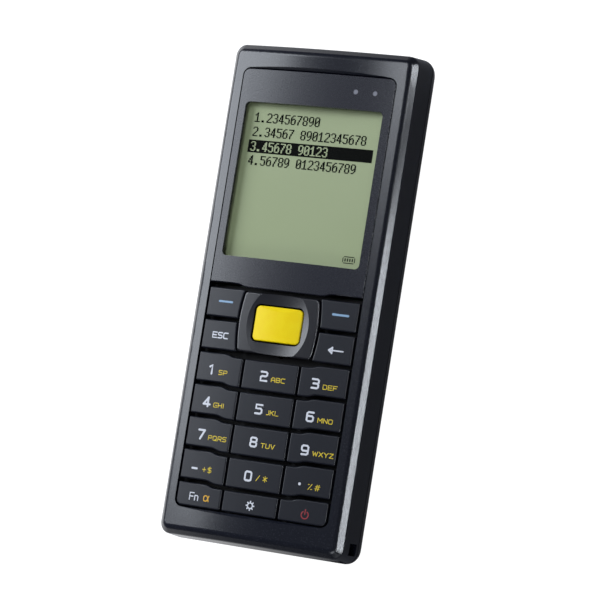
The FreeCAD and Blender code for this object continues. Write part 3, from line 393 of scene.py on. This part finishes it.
# %% Strokes of the letters
strokes = {
    "A": ((0, 0, 0, 4.4, 1.5, 6, 2.5, 6, 4, 4.4, 4, 0), (0, 2.3, 4, 2.3)),
    "B": ((0, 0, 0, 6, 3.2, 6, 4, 5.3, 4, 3.8, 3.2, 3.1, 4, 2.3, 4, .8, 3.2, 0, 0, 0),
          (0, 3.1, 3.2, 3.1)),
    "C": ((4, 6, .8, 6, 0, 5.2, 0, .8, .8, 0, 4, 0),),
    "D": ((0, 0, 0, 6, 3, 6, 4, 5, 4, 1, 3, 0, 0, 0),),
    "E": ((4, 6, 0, 6, 0, 0, 4, 0), (0, 3, 3.5, 3)),
    "F": ((4, 6, 0, 6, 0, 0), (0, 3, 3.4, 3)),
    "G": ((4, 6, .8, 6, 0, 5.2, 0, .8, .8, 0, 4, 0, 4, 2.8, 2.2, 2.8),),
    "H": ((0, 0, 0, 6), (4, 0, 4, 6), (0, 3, 4, 3)),
    "I": ((.5, 0, .5, 6),),
    "J": ((3.0, 6, 3.0, .8, 2.4, 0, .6, 0),),
    "K": ((0, 0, 0, 6), (3.8, 6, 0, 2.7), (1.3, 3.8, 4, 0)),
    "L": ((0, 6, 0, 0, 3.6, 0),),
    "M": ((0, 0, 0, 6), (0, 6, 2.3, 2.4), (2.3, 2.4, 4.6, 6), (4.6, 6, 4.6, 0)),
    "N": ((0, 0, 0, 6), (0, 6, 4, 0), (4, 0, 4, 6)),
    "O": ((.8, 0, 0, .8, 0, 5.2, .8, 6, 3.2, 6, 4, 5.2, 4, .8, 3.2, 0, .8, 0),),
    "P": ((0, 0, 0, 6, 3.2, 6, 4, 5.2, 4, 3.4, 3.2, 2.6, 0, 2.6),),
    "Q": ((.8, 0, 0, .8, 0, 5.2, .8, 6, 3.2, 6, 4, 5.2, 4, .8, 3.2, 0, .8, 0), (2.6, 1.5, 4.3, -.4)),
    "R": ((0, 0, 0, 6, 3.2, 6, 4, 5.2, 4, 3.5, 3.2, 2.7, 0, 2.7), (2, 2.7, 4, 0)),
    "S": ((4, 6, .8, 6, 0, 5.2, 0, 3.9, .8, 3.1, 3.2, 3.1, 4, 2.3, 4, .8, 3.2, 0, 0, 0),),
    "T": ((0, 6, 4, 6), (2, 6, 2, 0)),
    "U": ((0, 6, 0, .8, .8, 0, 3.2, 0, 4, .8, 4, 6),),
    "V": ((0, 6, 2.1, 0), (2.1, 0, 4.2, 6)),
    "W": ((0, 6, 1.3, 0), (1.3, 0, 2.7, 5), (2.7, 5, 4.1, 0), (4.1, 0, 5.4, 6)),
    "X": ((0, 0, 4, 6), (0, 6, 4, 0)),
    "Y": ((0, 6, 2.1, 3), (4.2, 6, 2.1, 3), (2.1, 3, 2.1, 0)),
    "Z": ((0, 6, 4, 6), (4, 6, 0, 0), (0, 0, 4, 0)),
    "n": ((0, 0, 0, 4), (0, 3.2, .8, 4, 2.4, 4, 3.2, 3.2, 3.2, 0)),
    "alpha": ((4.4, 4, 3.2, .7, 2.4, 0, .9, 0, 0, .9, 0, 3.1, .9, 4, 2.4, 4, 3.2, 3.3, 4.4, 0),),
    "1": ((.6, 4.7, 2.1, 6, 2.1, 0),),
    "2": ((0, 6, 3.2, 6, 4, 5.3, 4, 3.8, 3.2, 3.1, .8, 3.1, 0, 2.4, 0, 0, 4, 0),),
    "3": ((0, 6, 3.2, 6, 4, 5.3, 4, 3.8, 3.3, 3.1, 4, 2.4, 4, .7, 3.2, 0, 0, 0), (.8, 3.1, 3.3, 3.1)),
    "4": ((3, 0, 3, 6), (3, 6, 0, 1.4), (0, 1.4, 4.3, 1.4)),
    "5": ((4, 6, .1, 6, .1, 3.5, 3.2, 3.5, 4, 2.7, 4, .8, 3.2, 0, 0, 0),),
    "6": ((3.8, 6, .8, 6, 0, 5.2, 0, .8, .8, 0, 3.2, 0, 4, .8, 4, 2.7, 3.2, 3.5, 0, 3.5),),
    "7": ((0, 6, 4, 6), (4, 6, 1.4, 0)),
    "8": ((.8, 3.1, .1, 3.8, .1, 5.3, .8, 6, 3.2, 6, 3.9, 5.3, 3.9, 3.8, 3.2, 3.1, 4, 2.3, 4, .8,
           3.2, 0, .8, 0, 0, .8, 0, 2.3, .8, 3.1, 3.2, 3.1),),
    "9": ((.2, 0, 3.2, 0, 4, .8, 4, 5.2, 3.2, 6, .8, 6, 0, 5.2, 0, 3.3, .8, 2.5, 4, 2.5),),
    "0": ((.8, 0, 0, .8, 0, 5.2, .8, 6, 3.2, 6, 4, 5.2, 4, .8, 3.2, 0, .8, 0),),
    "-": ((.3, 3, 3.9, 3),),
    "+": ((0, 3, 4, 3), (2, 1, 2, 5)),
    "$": ((4, 5.2, .8, 5.2, 0, 4.5, 0, 3.8, .8, 3.1, 3.2, 3.1, 4, 2.4, 4, 1.5, 3.2, .8, 0, .8),
          (2, 6.2, 2, -.2)),
    "/": ((0, .6, 3, 5.4),),
    "*": ((.3, 1.6, 4.1, 4.4), (.3, 4.4, 4.1, 1.6), (2.2, .6, 2.2, 5.4)),
    "%": ((.3, .2, 4.1, 5.8), (0, 5.3, 1.1, 5.3), (3.3, .7, 4.4, .7)),
    "#": ((1, .2, 2.1, 5.8), (3.1, .2, 4.2, 5.8), (0, 1.9, 4.7, 1.9), (.5, 4.1, 5.2, 4.1)),
}


def letter_strokes(text, left, middle_y, height, gap=1.55, wide=1.0):
    unit = height / 6
    across = unit * wide
    found = []
    pen = left
    for letter in text:
        width = 0
        for run in strokes[letter]:
            points = list(zip(run[0::2], run[1::2]))
            width = max(width, max(x for x, y in points))
            found.append([(pen + x * across, middle_y + (y - 3) * unit) for x, y in points])
        pen += (width + gap) * across
    return found


# %% Crown of the key field, as in the frame
field_radius = 250.0 * mm
key_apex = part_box("key_5")[1].z


def on_crown(x):
    return key_apex - field_radius + math.sqrt(field_radius ** 2 - x * x)


# %% From strokes to a printed piece
ink_thickness = 0.04 * mm
ink_lift = 0.005 * mm


# Three more points at each end of a stroke, ever thinner, make a round end
def round_ended(run, half):
    start, end = Vector(run[0]), Vector(run[-1])
    outwards = (start - Vector(run[1])).normalized() * half
    onwards = (end - Vector(run[-2])).normalized() * half
    steps = [math.radians(angle) for angle in (25, 52, 78)]
    before = [(*(start + outwards * math.sin(angle)), math.cos(angle)) for angle in reversed(steps)]
    after = [(*(end + onwards * math.sin(angle)), math.cos(angle)) for angle in steps]
    return before + [(x, y, 1.0) for x, y in run] + after


def printed(key, part, runs, width, finish, closed=False):
    name = key + "_" + part
    curve = bpy.data.curves.new(name, "CURVE")
    curve.dimensions = "3D"
    curve.bevel_depth = width / 2
    curve.bevel_resolution = 2
    curve.use_fill_caps = True
    for run in runs:
        points = [(x, y, 1.0) for x, y in run] if closed else round_ended(run, width / 2)
        spline = curve.splines.new("POLY")
        spline.points.add(len(points) - 1)
        spline.use_cyclic_u = closed
        for point, (x, y, thickness) in zip(spline.points, points):
            point.co = (x, y, 0, 1)
            point.radius = thickness
    holder = bpy.data.objects.new(name, curve)
    scene.collection.objects.link(holder)
    bpy.context.view_layer.update()
    mesh = bpy.data.meshes.new_from_object(holder.evaluated_get(bpy.context.evaluated_depsgraph_get()))
    bpy.data.objects.remove(holder)
    bm = bmesh.new()
    bm.from_mesh(mesh)
    bmesh.ops.scale(bm, vec=(1, 1, ink_thickness / width), verts=bm.verts)
    for vert in bm.verts:
        vert.co.z += on_crown(vert.co.x) + ink_lift
    bmesh.ops.recalc_face_normals(bm, faces=bm.faces)
    new_piece(name, bm, finish, key + "_cap")


# %% Inks
def ink(name, colour):
    finish = Finish(name)
    cloud = finish.noise(900.0)
    deeper = tuple(c * 0.9 for c in colour[:3]) + (1.0,)
    finish.set({"Base Color": finish.blend(cloud, deeper, colour), "Roughness": 0.45 + cloud * 0.1})
    return finish


white_ink = ink("white_ink", linear(222, 225, 234))
yellow_ink = ink("yellow_ink", linear(228, 200, 28))
amber_ink = ink("amber_ink", linear(228, 172, 24))
blue_ink = ink("blue_ink", linear(138, 173, 205))
red_ink = ink("red_ink", linear(150, 28, 40))

# %% [markdown]
# ## Where the legends stand
# A large number stands left of the middle of its key, and its small letters stand lower and to
# the right. The rows follow the pitch of the keys in the frame. The middle and right columns are
# printed a touch lower, as on the real pad. One loop over nine keys does it, because only the
# words change.

# %% Number keys
key_pitch = 8.85 * mm
first_number_row_y = -22.05 * mm
number_columns = (-18.0 * mm, -1.6 * mm, 13.75 * mm)
column_drop = (0.0, 0.12 * mm, 0.25 * mm)
number_height = 2.35 * mm
number_wide = 1.18
number_width = 0.6 * mm
number_lead = number_height * number_wide / 3
small_height = 1.12 * mm
small_wide = 1.42
small_width = 0.24 * mm
small_gap = 2.35 * mm
small_drop = 0.6 * mm
small_letters = ("SP", "ABC", "DEF", "GHI", "JKL", "MNO", "PQRS", "TUV", "WXYZ")

for index, letters in enumerate(small_letters):
    column = index % 3
    digit = str(index + 1)
    x = number_columns[column]
    y = first_number_row_y - (index // 3) * key_pitch - column_drop[column]
    large = letter_strokes(digit, x - number_lead, y, number_height, wide=number_wide)
    small = letter_strokes(letters, x + small_gap, y - small_drop, small_height, wide=small_wide)
    printed("key_" + digit, "number", large, number_width, white_ink)
    printed("key_" + digit, "letters", small, small_width, yellow_ink)

# %% The row with the nought
low_row_y = first_number_row_y - 3 * key_pitch - 0.4 * mm
left_x, centre_x, right_x = number_columns
sign_width = 0.22 * mm
crowded_sign_width = 0.2 * mm
nought = letter_strokes("0", centre_x - number_lead, low_row_y, number_height, wide=number_wide)
nought_signs = letter_strokes("/*", centre_x + 2.5 * mm, low_row_y - 0.2 * mm, 1.8 * mm, 3.6)
minus = letter_strokes("-", left_x - 1.3 * mm, low_row_y, number_height)
minus_signs = letter_strokes("+$", left_x + 2.1 * mm, low_row_y, 1.55 * mm, 2.6)
point_signs = letter_strokes("%#", right_x + 2.5 * mm, low_row_y - 0.4 * mm, 1.6 * mm, 3.2)
printed("key_0", "number", nought, number_width, white_ink)
printed("key_0", "signs", nought_signs, sign_width, yellow_ink)
printed("key_minus", "number", minus, number_width, white_ink)
printed("key_minus", "signs", minus_signs, sign_width, yellow_ink)
printed("key_point", "signs", point_signs, crowded_sign_width, yellow_ink)

# %% The function key
last_row_y = -56.6 * mm
function_left = -18.6 * mm
function_width = 0.32 * mm
icon_width = 0.34 * mm
function_word = letter_strokes(["F", "n"], function_left, last_row_y + 0.1 * mm, 1.9 * mm, 1.2)
function_letter = letter_strokes(["alpha"], function_left + 4.5 * mm, last_row_y + 0.35 * mm, 2.1 * mm)
printed("key_function", "word", function_word, function_width, white_ink)
printed("key_function", "letter", function_letter, icon_width, amber_ink)

# %% [markdown]
# ## Round signs
# The point, the small sun and the power sign are parts of a circle. A circle could be a curve
# with handles, but a run of short straight strokes goes through the same printing step as the
# letters, so the ink has the same thickness everywhere.

# %% Points on a circle
full_turn = 2 * math.pi


def ring(x, y, radius, steps, start=0.0, sweep=full_turn):
    gaps = steps if sweep == full_turn else steps - 1
    points = []
    for step in range(steps):
        angle = start + sweep * step / gaps
        points.append((x + radius * math.cos(angle), y + radius * math.sin(angle)))
    return points


# %% Point and small sun
point_ring = ring(right_x, low_row_y, 0.2 * mm, 16)
printed("key_point", "number", [point_ring], 0.42 * mm, white_ink, closed=True)

sun_x = 0.35 * mm
sun_y = last_row_y - 0.1 * mm
sun_radius = 0.74 * mm
ray_start, ray_end = 0.98 * mm, 1.16 * mm
ray_count = 8
ray_width = 0.38 * mm
sun_ring = ring(sun_x, sun_y, sun_radius, 20)
printed("key_backlight", "ring", [sun_ring], icon_width, white_ink, closed=True)
rays = []
for step in range(ray_count):
    angle = math.pi * step / 4
    rays.append([(sun_x + reach * math.cos(angle), sun_y + reach * math.sin(angle))
                 for reach in (ray_start, ray_end)])
printed("key_backlight", "rays", rays, ray_width, white_ink)

# %% Power sign
power_x = 16.6 * mm
power_radius = 1.0 * mm
power_arc = ring(power_x, last_row_y - 0.3 * mm, power_radius, 18, math.radians(125), math.radians(290))
power_bar = [(power_x, last_row_y - 0.1 * mm), (power_x, last_row_y + 1.1 * mm)]
printed("key_power", "sign", [power_arc, power_bar], icon_width, red_ink)

# %% [markdown]
# ## Side keys
# Beside the pad stand two keys with a plain blue dash, one with ESC and one with an arrow. They
# are runs of strokes like the letters. The arrow's head is a small triangle of three strokes,
# which the width of the ink fills.

# %% Dashes, word and arrow
dash_y = -3.5 * mm
left_dash = [(-19.0 * mm, dash_y), (-15.0 * mm, dash_y)]
right_dash = [(15.7 * mm, dash_y), (20.0 * mm, dash_y)]
printed("key_soft_left", "dash", [left_dash], 0.62 * mm, blue_ink)
printed("key_soft_right", "dash", [right_dash], 0.68 * mm, blue_ink)

escape_y = -12.7 * mm
escape_word = letter_strokes("ESC", -19.5 * mm, escape_y, 1.45 * mm, 1.6, 1.3)
printed("key_escape", "word", escape_word, 0.38 * mm, white_ink)

arrow_left = 16.0 * mm
arrow_y = -13.0 * mm
arrow_tip = (arrow_left, arrow_y)
arrow_shaft = [(arrow_left + 0.4 * mm, arrow_y), (arrow_left + 4.1 * mm, arrow_y)]
arrow_ends = [(arrow_left + 1.0 * mm, arrow_y + side * 0.8 * mm) for side in (1, -1)]
arrow = [arrow_shaft, [arrow_ends[0], arrow_tip], [arrow_ends[1], arrow_tip], arrow_ends]
printed("key_backspace", "arrow", arrow, 0.42 * mm, white_ink)

# %% [markdown]
# ## Raised dot
# A dot on the middle key lets the thumb find the 5 without looking. It is a sphere pressed
# flatter, half sunk in the cap, and it wears the finish of the cap because it is moulded with it.

# %% Raised dot on the middle key
dot_place = (-0.2 * mm, first_number_row_y - key_pitch + 0.5 * mm, key_apex)
dot = bmesh.new()
bmesh.ops.create_uvsphere(dot, u_segments=20, v_segments=10, radius=0.3 * mm)
bmesh.ops.scale(dot, vec=(1, 1, 0.6), verts=dot.verts)
bmesh.ops.translate(dot, vec=dot_place, verts=dot.verts)
for face in dot.faces:
    face.smooth = True
new_piece("key_5_dot", dot, cap_finish, "key_5_cap")

# %% [markdown]
# ## Small parts
# The lamps' light guides are milky grey. The scan window is deep red and polished. Screws are
# black, the charging contacts are gold, and inside the battery bay there is a wrapped cell.
# Each gets its own grain, so nothing is one flat colour.


# %% Plain finishes with a little grain
def plain(name, colour, rough, names, metal=0.0, scale=1800.0, depth=0.00001, spread=0.12):
    finish = Finish(name)
    cloud = finish.noise(scale, 3.0)
    deeper = tuple(c * (1 - spread) for c in colour[:3]) + (1.0,)
    finish.set({
        "Base Color": finish.blend(cloud, deeper, colour),
        "Roughness": rough + cloud * 0.1,
        "Metallic": metal,
        "Normal": finish.bump(cloud, depth, 0.4),
    })
    dress(finish, *names)


plain("light_guide", linear(128, 129, 140), 0.3, ["indicator_lenses"])
plain("matt_rubber", linear(14, 14, 18), 0.7, ["keypad_mat", "case_seal", "door_foam_pad"])
plain("inner_plastic", linear(22, 22, 27), 0.5,
      ["lcd_frame", "nav_gimbal", "scan_engine", "door_catch", "buzzer"])
plain("light_box", linear(206, 212, 196), 0.4, ["backlight_panel"])
plain("amber_film", linear(186, 112, 38), 0.3, ["lcd_ribbon"])
plain("dome_steel", linear(170, 170, 172), 0.3, ["dome_sheet"], metal=1.0)
plain("board_mask", linear(24, 92, 56), 0.35, ["main_board"], scale=700.0, spread=0.3)
plain("chip_resin", linear(30, 30, 33), 0.55, ["board_chips"])
plain("bright_steel", linear(176, 177, 182), 0.28,
      ["backup_cell", "vibration_motor", "engine_bracket", "door_hinge_pin"], metal=1.0)
plain("black_screw", linear(58, 58, 63), 0.35, ["case_screws", "board_screws"], metal=1.0)
plain("gold_contact", linear(222, 178, 92), 0.22, ["battery_contacts", "cradle_contacts"], metal=1.0)
plain("lamp_red", linear(190, 34, 30), 0.15, ["aiming_lamps"])
plain("lens_coating", linear(40, 44, 70), 0.06, ["scan_lens"])
plain("battery_wrap", linear(44, 52, 74), 0.38, ["battery_pack"], scale=260.0, depth=0.00005)

# %% Scan window
red_window = Finish("deep_red_window")
red_cloud = red_window.noise(90.0)
red_window.set({
    "Base Color": red_window.blend(red_cloud, linear(38, 3, 8), linear(52, 5, 10)),
    "Roughness": 0.05 + red_cloud * 0.03,
    "Coat Weight": 0.5,
})
dress(red_window, "scan_window")

# %% [markdown]
# ## Floor
# The terminal lies on a table that is white in the picture. More light would bleach the object,
# so the white comes from the table's own glow, which only some rays see: those of the camera,
# those through glass, and the mirrored ones on the left, where the left bevel shows a pale card.
# Seen from below the table is clear, so the back can be looked at.

# %% Pale floor
floor_mesh = bmesh.new()
bmesh.ops.create_grid(floor_mesh, x_segments=1, y_segments=1, size=3.0)
bmesh.ops.translate(floor_mesh, vec=(0, 0, cad_low.z - 0.02 * mm), verts=floor_mesh.verts)
floor_finish = Finish("pale_table")
floor_finish.set({"Base Color": linear(120, 120, 124), "Roughness": 0.8})
tree = floor_finish.tree
rays_in = floor_finish.node("ShaderNodeLightPath", output="Is Camera Ray")
mirror_rays = floor_finish.node("ShaderNodeLightPath", output="Is Glossy Ray")
glass_rays = floor_finish.node("ShaderNodeLightPath", output="Is Transmission Ray")
floor_x = floor_finish.node("ShaderNodeSeparateXYZ", inputs={"Vector": floor_finish.place})
left_card = floor_finish.node("ShaderNodeMapRange", inputs={
    "Value": floor_x, "From Min": 0.02, "From Max": -0.05, "To Min": 0.02, "To Max": 0.9})
seen = rays_in + mirror_rays * left_card + glass_rays
floor_finish.shader.inputs["Emission Color"].default_value = (1, 1, 1, 1)
floor_finish.feed(floor_finish.shader.inputs["Emission Strength"], seen)
clear = tree.nodes.new("ShaderNodeBsdfTransparent")
two_sided = tree.nodes.new("ShaderNodeMixShader")
back_side = floor_finish.node("ShaderNodeNewGeometry", output="Backfacing")
tree.links.new(back_side.socket, two_sided.inputs[0])
tree.links.new(floor_finish.shader.outputs[0], two_sided.inputs[1])
tree.links.new(clear.outputs[0], two_sided.inputs[2])
tree.links.new(two_sided.outputs[0], tree.nodes["Material Output"].inputs["Surface"])
floor_shape = bpy.data.meshes.new("floor")
floor_mesh.to_mesh(floor_shape)
floor_mesh.free()
floor_shape.materials.append(floor_finish.material)
floor = bpy.data.objects.new("floor", floor_shape)
scene.collection.objects.link(floor)

# %% [markdown]
# ## Room light
# The room is white to the camera and dim to everything else. A dark object needs a dim room, or
# a grey veil lies over its gloss.

# %% World
world = bpy.data.worlds.new("soft_studio")
scene.world = world
world.use_nodes = True
sky = world.node_tree
background = sky.nodes["Background"]
light_path = sky.nodes.new("ShaderNodeLightPath")
glow = sky.nodes.new("ShaderNodeMix")
glow.data_type = "FLOAT"
glow.inputs["A"].default_value = 0.11
glow.inputs["B"].default_value = 1.0
sky.links.new(light_path.outputs["Is Camera Ray"], glow.inputs["Factor"])
sky.links.new(glow.outputs["Result"], background.inputs["Strength"])
background.inputs["Color"].default_value = (0.93, 0.95, 1.0, 1.0)


# %% [markdown]
# ## Lamps
# A large lamp at the upper left lights the frame and the left bevel, and a smaller one stands
# high over the top end. A very long, thin strip on the right draws the bright line on the right
# shoulder: it stands where the flat of the chamfer mirrors it. A small card brightens the frame's
# upper right corner in the same way. Strip and card only give gloss, so they throw no shadow of
# the bezel on the display.

# %% Lamps
daylight = (0.88, 0.93, 1.0)


def lamp(name, place, aim, width, height, power):
    data = bpy.data.lights.new(name, "AREA")
    data.shape = "RECTANGLE"
    data.size = width
    data.size_y = height
    data.energy = power
    data.color = daylight
    holder = bpy.data.objects.new(name, data)
    holder.location = place
    holder.rotation_mode = "QUATERNION"
    holder.rotation_quaternion = (Vector(aim) - Vector(place)).to_track_quat("-Z", "Y")
    scene.collection.objects.link(holder)
    print("lamp:", name, power, "W")
    return holder


lamp("upper_left_lamp", (-0.7, 0.23, 0.5), (0, 0, 0.01), 0.55, 0.6, 7.4)
lamp("top_lamp", (-0.04, 0.42, 0.85), (-0.04, 0.2, 0.02), 0.24, 0.5, 2.6)
strip = lamp("right_strip", (0.81, 0.06, 0.295), (0.026, 0.02, 0.021), 1.2, 0.02, 7.5)
card = lamp("corner_card", (-0.065, 0.19, 0.853), (0.025, 0.05, 0.02), 0.1, 0.12, 0.17)
for holder in (strip, card):
    holder.visible_diffuse = False
lamp("front_lamp", (0.3, -0.7, 0.5), (0, 0, 0.01), 0.5, 0.4, 1.8)

# %% [markdown]
# ## Camera
# The picture was taken from the right and a little below, with a long lens and a tilted frame.
# The angles are those at which the corners of the window, the recess and the keys all fall on
# their places in the picture.

# %% Camera
view_right_deg = 27.9
view_low_deg = 4.4
picture_tilt_deg = 9.03
picture_pixels = 600
focal_pixels = 2970.0
camera_distance = 0.8017
look_at = Vector((-0.0005, 0.0002, 0.012))

turn = math.radians(view_right_deg)
low = math.radians(-view_low_deg)
towards = Vector((math.sin(turn) * math.cos(low), math.sin(low), math.cos(turn) * math.cos(low)))
across = Vector((math.cos(turn), 0, -math.sin(turn)))
upwards = towards.cross(across)
tilt = math.radians(picture_tilt_deg)
right_axis = across * math.cos(tilt) + upwards * math.sin(tilt)
up_axis = upwards * math.cos(tilt) - across * math.sin(tilt)

camera_data = bpy.data.cameras.new("camera")
camera_data.sensor_width = 36.0
camera_data.lens = focal_pixels / picture_pixels * camera_data.sensor_width
camera_data.clip_start = 0.05
camera_data.clip_end = 20.0
camera = bpy.data.objects.new("camera", camera_data)
axes = Matrix((right_axis, up_axis, towards)).transposed().to_4x4()
camera.matrix_world = Matrix.Translation(look_at + towards * camera_distance) @ axes
scene.collection.objects.link(camera)
scene.camera = camera
scene.view_settings.view_transform = "Standard"
print("lens in mm:", round(camera_data.lens, 1))
